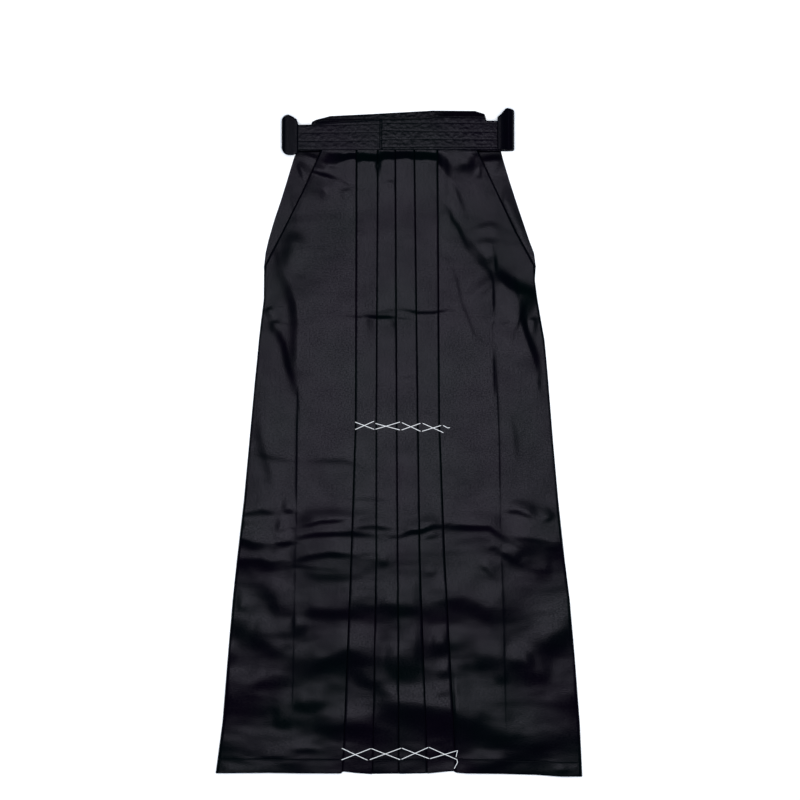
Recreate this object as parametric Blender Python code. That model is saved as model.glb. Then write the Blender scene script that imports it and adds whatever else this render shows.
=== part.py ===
"""Hakama trousers of black satin weave, laid flat on their back with the pleated front up.

Sizes are in millimetres, and MM turns them into Blender's metres. +Y points to the waist, +X to
the right of someone who looks at the front, and +Z up. The origin is on the surface that the
garment lies on, under the middle of it. The wearer's right is on the -X side.
"""

import math

import bpy

MM = 0.001

# Driving sizes
FRONT_LENGTH = 910.0
OPENING_LENGTH = 168.0
CROTCH_DEPTH = 430.0
BAND_EDGE_Y = 429.0
WALL = 1.0
SEAM = 0.3
SEAM_HALF = 1.4 * SEAM
LAYER = WALL + SEAM
FLOOR_LAYER = WALL / 2
PLEAT_SHARE = 0.45
CENTRE_LAP = 13.0
CROTCH_BLEND = 60.0

# Heights of the cloth's middle where it lies loose over the back
RESTING = FLOOR_LAYER + LAYER
LOOSE = 3.4
SIDE_RADIUS = (LOOSE - FLOOR_LAYER) / 2
EDGE_SLOPE = 25.0
PLEAT_SLOPE = 62.0

# Waist: the back band lies lowest, then the folded straps, then the front band
BACK_BAND_WALL = 2.0
FRONT_BAND_WALL = 2.6
FOLDS_HEIGHT = 13.0
BACK_BAND_Z = BACK_BAND_WALL / 2
FOLDS_Z = BACK_BAND_WALL + SEAM
FRONT_BAND_LOW_Z = BACK_BAND_WALL + SEAM + FRONT_BAND_WALL / 2
FRONT_BAND_Z = FOLDS_Z + FOLDS_HEIGHT + SEAM + FRONT_BAND_WALL / 2
STRAP_END_Z = FRONT_BAND_Z + FRONT_BAND_WALL / 2 + SEAM + BACK_BAND_WALL / 2

# Distance down from the waistband's lower edge, and the outline's two sides there
SIDES = {
    "down": (0, 13, 43, 72, 101, 131, 150, 168, 190, 219, 248, 278)
    + (307, 337, 425, 513, 601, 660, 748, 836, 910),
    "right": (-151, -156, -165, -174, -183.8, -192.5, -196.8, -198.8, -198.7, -199, -202.8, -206.2)
    + (-208.9, -212, -220.1, -228.3, -238.6, -244.8, -252.4, -259.7, -269.9),
    "left": (150.5, 153.7, 162.8, 172.1, 181.8, 191.9, 199.3, 201.5, 200, 203.9, 208.9, 214.2)
    + (217, 219.6, 226.6, 234.4, 243.9, 251.4, 259.1, 266.2, 269.9),
}

# The front's slanted edges, from the waistband to the foot of each side opening
SLANTS = {
    "down": (0, 60, 120, OPENING_LENGTH),
    "right": (-115, -143, -173, -198.3),
    "left": (116, 145, 174, 201),
}

# The five fold lines that show, from the wearer's right to the left
PLEATS = {
    "down": (0, 395, 601, 866, 910),
    "first": (-63, -64, -70.5, -81, -83.5),
    "second": (-31.5, -33.8, -33.8, -38.2, -39.5),
    "third": (-5, -3, -1.5, 0, 0),
    "fourth": (23, 28, 31, 40.5, 41.5),
    "fifth": (57, 59.5, 67.5, 81.5, 84),
}

# How many layers above the lowest one the top of each fold lies
FOLD_LAYERS = {"first": 4, "second": 3, "third": 3, "fourth": 4, "fifth": 5}
TOP_LAYER_Z = FLOOR_LAYER + 5 * LAYER

# How far the hem dips below its nominal line
HEM = {
    "x": (-268, -190, -150, -85, -83, -62, -41, 0, 44, 81, 83.5, 100, 150, 200, 240, 268),
    "dip": (4.5, 3.6, 4.4, 4.9, 1.9, 4.6, 6.2, 5.6, 4.9, 1.2, 3.6, 4.8, 5.5, 7.1, 9.5, 9.5),
}
HEM_DIP_START = 700.0

# The lines where the garment was folded into three for its packet
PACKING = {
    "down": (0, 260, 440, 910),
    "right": (-149, -149, -151, -159),
    "left": (141, 141, 146, 156),
}

# The largest folds in the laid cloth: a line of (x, down) points, a height and a half width
CREASES = (
    ("slack under the right opening", ((-160, 113), (-176, 165), (-152, 226), (-146, 350)), -1.1, 13),
    ("drag from the pleats to the left side", ((62, 72), (90, 123), (134, 175), (141, 300)), 1.5, 13),
    ("packing line of the right side", ((-149, 300), (-151, 440), (-159, 850)), 0.9, 9),
    ("packing line of the left side", ((143, 300), (148, 560), (156, 850)), 0.9, 9),
    ("upper packing line", ((-62, 240), (50, 237)), 1.0, 9),
    ("lower packing line, right half", ((-225, 548), (-140, 557), (-35, 553)), 1.5, 10),
    ("lower packing line, left half", ((28, 559), (60, 550), (134, 557), (165, 583)), 1.7, 11),
    ("slack above the left hem", ((98, 845), (160, 858), (240, 838)), 1.3, 16),
)

# Creases fade out over this width at the side folds
CREASE_END = 20.0

# How the front climbs to the waistband: a short ledge below the band, then a long slope
PULL_LENGTH = 14.0
LEDGE_LENGTH = 10.0
LEDGE_SHARE = 0.45
RISE_LENGTH = 95.0

# The side seams close over this length below the openings
SEAM_BLEND = 24.0

# Stretches of the length, and how many equal rows of points each has
ROW_STRETCHES = (
    (SEAM, 20, 4),
    (20, 110, 4),
    (110, OPENING_LENGTH + 26, 4),
    (OPENING_LENGTH + 26, 222, 1),
    (222, 256, 2),
    (256, 535, 6),
    (535, 571, 3),
    (571, 820, 5),
    (820, FRONT_LENGTH, 3),
)

HALVES = {
    "right": {"inward": 1, "folds": ("first", "second")},
    "left": {"inward": -1, "folds": ("fifth", "fourth", "third")},
}

# The left leg's hidden inner edge, from the fold's return down to the floor: how far past the
# centre line, and the share of the drop
STEP_DOWN = ((-0.3, 0.0), (0.5, 0.3), (0.8, 0.75), (1.3, 1.0), (2.2, 1.0))

# Straps: x, whether that stretch lies on top or on the floor, and how far its lower and its upper
# edge lie above the front waistband's lower edge
FRONT_BAND = (
    (-152, "floor", 2, 34),
    (-162, "floor", 1, 36),
    (-162, "top", 0, 37),
    (-130, "top", 0, 37.5),
    (-105, "top", 0, 39.8),
    (-62, "top", 0, 43.6),
    (-28, "top", 0, 45.4),
    (47, "top", 0, 47.4),
    (51, "top", 0, 49.6),
    (124, "top", 0, 48.4),
    (127, "top", 0, 43.4),
    (144, "top", 0.4, 43),
    (158, "top", 0.4, 42),
    (158, "floor", 1, 38),
    (148, "floor", 2, 36),
)
BACK_BAND = (
    (-148, "top", -7, 38),
    (-155, "top", -7, 47),
    (-162, "top", -5, 53),
    (-162, "floor", 1, 46),
    (-153, "floor", 0, 39),
    (-130, "floor", 0, 36),
    (-127, "floor", 0, 43),
    (-116, "floor", 0, 48),
    (-101, "floor", 0, 51.5),
    (-40, "floor", 0, 55),
    (50, "floor", 0, 60),
    (112, "floor", 0, 59.5),
    (126, "floor", 0, 55),
    (129, "floor", 0, 44),
    (132, "floor", 0, 38),
    (150, "floor", 0, 42),
    (159, "floor", 0, 56),
    (159, "top", 0, 61.5),
    (153, "top", 0, 55),
    (144, "top", 0, 48),
)
BAND_CURVE_STEPS = 12
ROUNDED_EDGE = 0.35

# The layers of folded strap between the bands: each one's ends in X, and how far its upper edge
# lies above the front waistband's lower edge
STRAP_LAYERS = (
    (-124, 124, 50),
    (-126, 122, 47),
    (-121, 126, 52),
    (-125, 125, 48),
    (-122, 123, 46.5),
)
STRAP_LAYERS_LOW_Y = BAND_EDGE_Y + 0.6
STRAP_CORNER = 9.0
STRAP_GROOVE = 1.1


def smooth(t):
    """A value that eases from 0 to 1 as t does."""
    t = min(1.0, max(0.0, t))
    return t * t * (3 - 2 * t)


def mix(a, b, share):
    return a + (b - a) * share


def read(table, column, at, key="down"):
    """A column of a table at a place between its rows."""
    places, values = table[key], table[column]
    if at <= places[0]:
        return values[0]
    for k in range(len(places) - 1):
        if at <= places[k + 1]:
            return mix(values[k], values[k + 1], (at - places[k]) / (places[k + 1] - places[k]))
    return values[-1]


def row_places():
    """Distances down from the waistband at which the cloth has a row of points."""
    places = [SEAM]
    for start, end, count in ROW_STRETCHES:
        places += [mix(start, end, (k + 1) / count) for k in range(count)]
    return places


def distance(x, down, line):
    """How far a point of the cloth is from a line of (x, down) points."""
    nearest = math.inf
    for (x0, d0), (x1, d1) in zip(line, line[1:]):
        along_x, along_d = x1 - x0, d1 - d0
        t = ((x - x0) * along_x + (down - d0) * along_d) / (along_x**2 + along_d**2)
        held = min(1.0, max(0.0, t))
        nearest = min(nearest, math.hypot(x - x0 - held * along_x, down - d0 - held * along_d))
    return nearest


def crease_height(x, down):
    """How much the largest folds raise or lower the front cloth."""
    height = 0.0
    for _, line, peak, half_width in CREASES:
        height += peak * math.exp(-((distance(x, down, line) / half_width) ** 2))
    side = read(SIDES, "right" if x < 0 else "left", down)
    return height * smooth(abs(side - x) / CREASE_END)


def settled(x, z, down):
    """The height of front cloth with its creases, never lower than resting on the back."""
    return max(z + crease_height(x, down), min(z, RESTING))


def waist_pull(down):
    """1 at the band and 0 a little below it, where the layers are held at the band's height."""
    return math.exp(-down / PULL_LENGTH)


def waist_lift(down):
    """How much the front rises towards the waistband, which lies on the folded straps."""
    rise = FRONT_BAND_Z - TOP_LAYER_Z
    ledge = math.exp(-down / LEDGE_LENGTH)
    return rise * mix(1 - smooth(down / RISE_LENGTH), ledge, LEDGE_SHARE)


def fold_top(name, down):
    """Height of the top layer of a fold, before the cloth's lift and creases."""
    return mix(FLOOR_LAYER + FOLD_LAYERS[name] * LAYER, TOP_LAYER_Z, waist_pull(down))


def side_edge(half, down):
    """The front's outer edge: slanted beside the opening, then the outline itself."""
    table = SLANTS if down < OPENING_LENGTH else SIDES
    return read(table, half, down)


def centre_line(down):
    """Where the hidden edges of the two halves meet, under the third pleat."""
    return read(PLEATS, "third", down) + CENTRE_LAP


def turn_points(fold_x, high, low, inward, steps=3):
    """A half turn of the cloth's middle line from one layer down to the next."""
    radius = (high - low) / 2
    centre = fold_x - inward * (radius + WALL / 2)
    points = []
    for k in range(steps + 1):
        angle = math.pi / 2 - math.pi * k / steps
        points.append((centre + inward * radius * math.cos(angle), low + radius * (1 + math.sin(angle))))
    return points


def side_turn(edge, inward, flat_z, other_z, seam):
    """The quarter turn at a side seam, or a flat edge where seam is 0."""
    radius = abs(flat_z - other_z) / 2
    points = []
    for k in range(3):
        angle = math.pi / 2 * k / 3
        x = edge + inward * (WALL / 2 + radius * (1 - math.cos(angle)))
        drop = radius * (1 - math.sin(angle))
        if k == 0:
            drop -= SEAM_HALF
        points.append((x, mix(flat_z, flat_z + math.copysign(drop, other_z - flat_z), seam)))
    return points


def front_path(half, down):
    """One half's front at one row: its middle line from the side to the hidden centre edge."""
    inward = HALVES[half]["inward"]
    folds = HALVES[half]["folds"]
    edge = side_edge(half, down)
    seam = smooth((down - OPENING_LENGTH) / SEAM_BLEND)
    pull = waist_pull(down)

    # The panel, from the side to the first fold
    fold_x = read(PLEATS, folds[0], down)
    top = fold_top(folds[0], down)
    next_x = read(PLEATS, folds[1], down)
    depth = PLEAT_SHARE * abs(next_x - fold_x)
    width = abs(fold_x - edge)
    edge_z = mix(RESTING, LOOSE, seam)

    def panel_z(along):
        z = mix(edge_z, LOOSE, smooth(along / EDGE_SLOPE))
        z = mix(z, top, smooth((along - (width - depth - PLEAT_SLOPE)) / PLEAT_SLOPE))
        return mix(z, TOP_LAYER_Z, pull)

    packing = min(max(abs(read(PACKING, half, down) - edge), 0.3 * width), 0.6 * width)
    reach = min(12.0, 0.1 * width)
    rest = width - packing - reach - 2 * LAYER
    places = [0.45 * packing, packing - reach, packing, packing + reach]
    places += [packing + reach + rest * share for share in (0.25, 0.5, 0.72, 0.88)]
    turn = side_turn(edge, inward, LOOSE, FLOOR_LAYER, 1.0)
    path = []
    for x, z in turn:
        flat_z = mix(panel_z(abs(x - edge)), LOOSE, seam)
        path.append((x, mix(flat_z, z, seam)))
    path += [(edge + inward * along, panel_z(along)) for along in places]

    # The pleats: a half turn under, the hidden return, a half turn back, and the next strip
    for k, name in enumerate(folds):
        fold_x = read(PLEATS, name, down)
        top = fold_top(name, down)
        path += turn_points(fold_x, top, top - LAYER, inward)
        if k + 1 == len(folds) and half == "left":
            break
        depth = PLEAT_SHARE * abs(read(PLEATS, folds[min(k + 1, 1)], down) - read(PLEATS, folds[0], down))
        inner_x = fold_x - inward * depth
        path += turn_points(inner_x, top - LAYER, top - 2 * LAYER, -inward)
        path.append((fold_x, top - 2 * LAYER))
        if k + 1 < len(folds):
            next_x = read(PLEATS, folds[k + 1], down)
            next_top = fold_top(folds[k + 1], down)
            hidden = PLEAT_SHARE * abs(next_x - fold_x)
            if folds[k + 1] == "third":
                hidden = CENTRE_LAP
            run = abs(next_x - fold_x) - hidden - LAYER
            for share in (0.35, 0.7, 1.0):
                x = fold_x + inward * run * share
                path.append((x, mix(top - 2 * LAYER, next_top, smooth(share))))
    lift = waist_lift(down)
    if half == "right":
        end = centre_line(down) - 2 * SEAM - WALL / 2
        under = fold_top("second", down) - 2 * LAYER
        path += [(mix(path[-1][0], end, share), under) for share in (0.5, 1.0)]
        return [(x, settled(x, z + lift, down)) for x, z in path]

    path = [(x, settled(x, z + lift, down)) for x, z in path]
    divided = smooth((down - CROTCH_DEPTH) / CROTCH_BLEND)
    centre = centre_line(down)
    level = fold_top("third", down) - LAYER + lift
    for beyond, share in STEP_DOWN:
        x = centre + beyond
        z = mix(level, FLOOR_LAYER, share * divided) + crease_height(x, down) * (1 - share * divided)
        path.append((x, z))
    return path


def back_path(half, down):
    """One half's back at one row, from the side to the centre: it lies on the floor."""
    inward = HALVES[half]["inward"]
    seam = smooth((down - OPENING_LENGTH) / SEAM_BLEND)
    edge = read(SIDES, half, down)
    path = side_turn(edge, inward, FLOOR_LAYER, LOOSE, seam)
    start = edge + inward * (WALL / 2 + SIDE_RADIUS)
    centre = centre_line(down)
    if half == "right":
        end = centre - SEAM - WALL / 2
    else:
        parted = smooth((down - CROTCH_DEPTH) / CROTCH_BLEND + 1)
        end = centre - WALL / 2 + mix(0.0, STEP_DOWN[-1][0] + WALL / 2 + SEAM, parted)
    path += [(mix(start, end, share), FLOOR_LAYER) for share in (0.0, 0.3, 0.6, 1.0)]
    return path


def wall_offsets(path, wall):
    """The two faces of a wall about its middle line, each as a list of (x, z)."""
    over, under = [], []
    for k, (x, z) in enumerate(path):
        before = path[max(k - 1, 0)]
        after = path[min(k + 1, len(path) - 1)]
        in_x, in_z = x - before[0], z - before[1]
        out_x, out_z = after[0] - x, after[1] - z
        in_length, out_length = math.hypot(in_x, in_z), math.hypot(out_x, out_z)
        if in_length == 0:
            in_x, in_z, in_length = out_x, out_z, out_length
        if out_length == 0:
            out_x, out_z, out_length = in_x, in_z, in_length
        in_x, in_z, out_x, out_z = in_x / in_length, in_z / in_length, out_x / out_length, out_z / out_length
        normal_x, normal_z = -(in_z + out_z), in_x + out_x
        length = math.hypot(normal_x, normal_z)
        stretch = 2 / max(length, 1.5) / length * wall / 2
        over.append((x + normal_x * stretch, z + normal_z * stretch))
        under.append((x - normal_x * stretch, z - normal_z * stretch))
    return over, under


def hem_y(x, down):
    """The place in Y of a point that lies that far down from the waistband."""
    dip = read(HEM, "dip", x, key="x") * smooth((down - HEM_DIP_START) / (FRONT_LENGTH - HEM_DIP_START))
    return BAND_EDGE_Y - down - dip


def material(name, colour, roughness):
    made = bpy.data.materials.new(name)
    made.use_nodes = True
    shader = made.node_tree.nodes["Principled BSDF"]
    shader.inputs["Base Color"].default_value = (*colour, 1.0)
    shader.inputs["Roughness"].default_value = roughness
    shader.inputs["Metallic"].default_value = 0.0
    made.diffuse_color = (*colour, 1.0)
    return made


def add_object(name, points, faces, finish):
    """A closed mesh as a named object, its faces turned outwards."""
    mesh = bpy.data.meshes.new(name)
    mesh.from_pydata([(x * MM, y * MM, z * MM) for x, y, z in points], [], faces)
    volume = 0.0
    for face in mesh.polygons:
        corners = [mesh.vertices[i].co for i in face.vertices]
        for a, b in zip(corners[1:], corners[2:]):
            volume += corners[0].dot(a.cross(b))
    if volume < 0:
        mesh.flip_normals()
    mesh.shade_smooth()
    mesh.set_sharp_from_angle(angle=math.radians(50))
    mesh.materials.append(finish)
    made = bpy.data.objects.new(name, mesh)
    bpy.context.scene.collection.objects.link(made)
    return made


def ring_solid(name, rings, finish):
    """A solid through closed rings of equal count, its two ends closed between opposite points."""
    count = len(rings[0])
    points = [point for ring in rings for point in ring]
    faces = []
    for r in range(len(rings) - 1):
        for k in range(count):
            a, b = r * count + k, r * count + (k + 1) % count
            faces.append((a, b, b + count, a + count))
    last = (len(rings) - 1) * count
    for k in range(count // 2 - 1):
        first_end = (k, k + 1, count - 2 - k, count - 1 - k)
        faces.append(first_end[::-1])
        faces.append(tuple(i + last for i in first_end))
    return add_object(name, points, faces, finish)


def cloth_panel(name, path_at, finish):
    """A panel of cloth through its rows, with the wall's upper face, then its lower face back."""
    rings = []
    for down in row_places():
        over, under = wall_offsets(path_at(down), WALL)
        ring = over + under[::-1]
        rings.append([(x, hem_y(x, down), z) for x, z in ring])
    return ring_solid(name, rings, finish)


def strap_path(stations, top_z, floor_z):
    """Turns a strap's table into (x, z, low, high), with a half turn where it changes layer."""
    path = []
    heights = {"top": top_z, "floor": floor_z}
    middle, radius = (top_z + floor_z) / 2, (top_z - floor_z) / 2
    for (x, layer, low, high), after in zip(stations, stations[1:] + (None,)):
        path.append((x, heights[layer], low, high))
        if after is None or after[1] == layer:
            continue
        outward = math.copysign(1, x)
        start = 1 if layer == "top" else -1
        for k in range(1, BAND_CURVE_STEPS):
            share = k / BAND_CURVE_STEPS
            angle = start * math.pi / 2 * (1 - 2 * share)
            path.append(
                (
                    x + outward * radius * math.cos(angle),
                    middle + radius * math.sin(angle),
                    mix(low, after[2], share),
                    mix(high, after[3], share),
                )
            )
    return path


def strap(name, stations, top_z, floor_z, wall, finish):
    """A band that lies flat and turns over at its ends, with rounded edges."""
    path = strap_path(stations, top_z, floor_z)
    over, under = wall_offsets([(x, z) for x, z, _, _ in path], wall)
    edge = ROUNDED_EDGE * wall
    rings = []
    for (_, _, low, high), (over_x, over_z), (under_x, under_z) in zip(path, over, under):

        def point(side, y):
            return (mix(under_x, over_x, side), BAND_EDGE_Y + y, mix(under_z, over_z, side))

        rings.append(
            [
                point(0.7, low),
                point(1.0, low + edge),
                point(1.0, high - edge),
                point(0.7, high),
                point(0.3, high),
                point(0.0, high - edge),
                point(0.0, low + edge),
                point(0.3, low),
            ]
        )
    return ring_solid(name, rings, finish)


def rounded_plan(x0, x1, y0, y1, corner, z):
    """A rectangle with round corners as a ring of points at one height."""
    ring = []
    for corner_x, corner_y, start in (
        (x1 - corner, y1 - corner, 0),
        (x0 + corner, y1 - corner, 90),
        (x0 + corner, y0 + corner, 180),
        (x1 - corner, y0 + corner, 270),
    ):
        for k in range(5):
            angle = math.radians(start + 22.5 * k)
            ring.append((corner_x + corner * math.cos(angle), corner_y + corner * math.sin(angle), z))
    return ring


def folded_straps(name, finish):
    """The folded lengths of strap, as one solid with a groove between its layers."""
    height = FOLDS_HEIGHT / len(STRAP_LAYERS)
    rings = []
    layers = [(x0, x1, BAND_EDGE_Y + upper) for x0, x1, upper in STRAP_LAYERS]
    for k, (x0, x1, y1) in enumerate(layers):
        z = FOLDS_Z + k * height
        if k == 0:
            rings.append(rounded_plan(x0 + 2, x1 - 2, STRAP_LAYERS_LOW_Y + 2, y1 - 2, STRAP_CORNER - 2, z))
        for share in (0.3, 0.75):
            rings.append(rounded_plan(x0, x1, STRAP_LAYERS_LOW_Y, y1, STRAP_CORNER, z + share * height))
        above = layers[min(k + 1, len(layers) - 1)]
        groove = (
            max(x0, above[0]) + STRAP_GROOVE,
            min(x1, above[1]) - STRAP_GROOVE,
            STRAP_LAYERS_LOW_Y + STRAP_GROOVE,
            min(y1, above[2]) - STRAP_GROOVE,
        )
        rings.append(rounded_plan(*groove, STRAP_CORNER - STRAP_GROOVE, z + height))
    return ring_solid(name, rings, finish)


def clear_scene():
    for item in list(bpy.data.objects):
        bpy.data.objects.remove(item, do_unlink=True)


def build():
    clear_scene()
    satin = material("black_satin_weave", (0.012, 0.011, 0.016), 0.45)
    band_satin = material("black_quilted_band", (0.014, 0.013, 0.018), 0.5)
    strap_satin = material("black_strap_cloth", (0.009, 0.008, 0.012), 0.55)
    for half in HALVES:
        cloth_panel(f"front_{half}", lambda down, half=half: front_path(half, down), satin)
        cloth_panel(f"back_{half}", lambda down, half=half: back_path(half, down), satin)
    strap("front_band", FRONT_BAND, FRONT_BAND_Z, FRONT_BAND_LOW_Z, FRONT_BAND_WALL, band_satin)
    strap("back_band", BACK_BAND, STRAP_END_Z, BACK_BAND_Z, BACK_BAND_WALL, strap_satin)
    folded_straps("strap_folds", strap_satin)


build()
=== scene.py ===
# %% [markdown]
# # Hakama trousers, laid flat
# A hakama is a pair of very wide pleated trousers. This pair lies on its back, front up, as it
# would on a shop's table: the legs smoothed flat, the long waist straps folded away between the
# front and the back waistband, and white basting threads still holding the pleats in place.
# The lesson dresses a plain solid model: each solid gives way to thin cloth with its creases,
# its sewing and its satin finish. The solid model also gives the place of everything.

import math

import bpy
import numpy as np
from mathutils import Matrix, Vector, noise
from mathutils.bvhtree import BVHTree


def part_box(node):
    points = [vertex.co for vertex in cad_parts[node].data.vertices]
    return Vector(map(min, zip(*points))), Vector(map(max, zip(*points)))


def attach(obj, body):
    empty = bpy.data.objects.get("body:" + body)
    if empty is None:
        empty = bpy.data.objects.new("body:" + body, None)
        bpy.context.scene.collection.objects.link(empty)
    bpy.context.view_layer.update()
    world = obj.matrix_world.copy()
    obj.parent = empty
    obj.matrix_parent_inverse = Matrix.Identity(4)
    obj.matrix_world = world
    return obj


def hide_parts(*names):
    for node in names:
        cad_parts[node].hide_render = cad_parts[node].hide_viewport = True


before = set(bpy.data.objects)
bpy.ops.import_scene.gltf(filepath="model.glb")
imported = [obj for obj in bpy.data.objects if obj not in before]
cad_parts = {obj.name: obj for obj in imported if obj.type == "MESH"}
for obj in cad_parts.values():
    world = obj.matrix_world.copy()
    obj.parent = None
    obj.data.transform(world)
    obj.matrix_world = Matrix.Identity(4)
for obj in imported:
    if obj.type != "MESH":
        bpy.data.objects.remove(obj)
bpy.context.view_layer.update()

# %% [markdown]
# ## Sizes
# All cloth is drafted in millimetres, as a pattern cutter would: `x` across the garment, and
# `down` along it, counted from the lower edge of the front waistband. The tables hold the
# outline and the fold lines at a few places, and everything between them is read off.

# %% Drafting sizes
MM = 0.001
FRONT_LENGTH = 910.0
OPENING_LENGTH = 168.0
CROTCH_DEPTH = 430.0
LEG_PARTING = 60
BAND_EDGE_Y = 429.0
# The share of a strip's width that lies hidden behind it, how far the right front laps under
# the centre line, and how far the cloth runs up under the waistband
PLEAT_SHARE = 0.45
CENTRE_LAP = 13.0
TUCKED_IN = 1.5
# Heights: the cloth's wall, the gap between bands, one pressed layer, the layer on the floor, the
# lowest that a crease may press the front, and the loose front beside the pleats
CLOTH = 0.5
LAYER_GAP = 0.3
LAYER = 1.3
FLOOR_LAYER = 0.5
RESTING = FLOOR_LAYER + LAYER
LOOSE = 3.4
SIDE_RADIUS = (LOOSE - FLOOR_LAYER) / 2

SIDES = {
    "down": (0, 13, 43, 72, 101, 131, 150, 168, 190, 219, 248, 278)
    + (307, 337, 425, 513, 601, 660, 748, 836, 910),
    "right": (-151, -156, -165, -174, -183.8, -192.5, -196.8, -198.8, -198.7, -199, -202.8, -206.2)
    + (-208.9, -212, -220.1, -228.3, -238.6, -244.8, -252.4, -259.7, -269.9),
    "left": (150.5, 153.7, 162.8, 172.1, 181.8, 191.9, 199.3, 201.5, 200, 203.9, 208.9, 214.2)
    + (217, 219.6, 226.6, 234.4, 243.9, 251.4, 259.1, 266.2, 269.9),
}
SLANTS = {
    "down": (0, 60, 120, OPENING_LENGTH),
    "right": (-115, -143, -173, -198.3),
    "left": (116, 145, 174, 201),
}
PLEATS = {
    "down": (0, 395, 601, 866, 910),
    "first": (-63, -64, -70.5, -81, -83.5),
    "second": (-31.5, -33.8, -33.8, -38.2, -39.5),
    "third": (-5, -3, -1.5, 0, 0),
    "fourth": (23, 28, 31, 40.5, 41.5),
    "fifth": (57, 59.5, 67.5, 81.5, 84),
}
FOLD_LAYERS = {"first": 4, "second": 3, "third": 3, "fourth": 4, "fifth": 5}
TOP_LAYER_Z = FLOOR_LAYER + 5 * LAYER
HEM = {
    "x": (-268, -190, -150, -85, -83, -62, -41, 0, 44, 81, 83.5, 100, 150, 200, 240, 268),
    "dip": (4.5, 3.6, 4.4, 4.9, 1.9, 4.6, 6.2, 5.6, 4.9, 1.2, 3.6, 4.8, 5.5, 7.1, 9.5, 9.5),
}
HEM_DIP_START = 700.0
HALVES = {
    "right": {"inward": 1, "folds": ("first", "second")},
    "left": {"inward": -1, "folds": ("fifth", "fourth", "third")},
}
front_band_box = [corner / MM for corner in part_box("front_band")]
BAND_TOP = front_band_box[1].z
BAND_WALL = 2.6
BAND_MIDDLE = BAND_TOP - BAND_WALL / 2
print("the front band lies", round(BAND_TOP, 1), "mm above the surface")

# %% [markdown]
# ## Reading the tables
# Two tiny helpers carry the whole draft. `smooth` eases from 0 to 1 without a corner, and
# `read` finds a value between two rows of a table. Both work on numpy arrays, so that one call
# shapes a whole panel at once and the script stays quick.

# %% Drafting helpers
def smooth(t):
    t = np.clip(t, 0.0, 1.0)
    return t * t * (3 - 2 * t)


def mix(a, b, share):
    return a + (b - a) * share


def read(table, column, at, key="down"):
    return np.interp(at, table[key], table[column])


def outline(half, down):
    return read(SIDES, half, down)


def hem_y(x, down):
    dip = read(HEM, "dip", x, key="x") * smooth((down - HEM_DIP_START) / (FRONT_LENGTH - HEM_DIP_START))
    return BAND_EDGE_Y - down - dip


# %% [markdown]
# ## Creases
# Cloth that was folded for a packet keeps soft ridges. A crease here is a line drawn on the
# front, with a height, a steep side and a gentle side, in millimetres. The steep side is the
# one towards the hem on a line drawn from left to right, and the one towards the left on a line
# drawn downwards. A line drawn the other way has its steep side on the other side. Under a broad
# overhead lamp, satin turns dark wherever it slopes away from the lamp's mirror image, so the
# steep side is what the eye reads as the crease. A row of this table is one crease.

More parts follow.
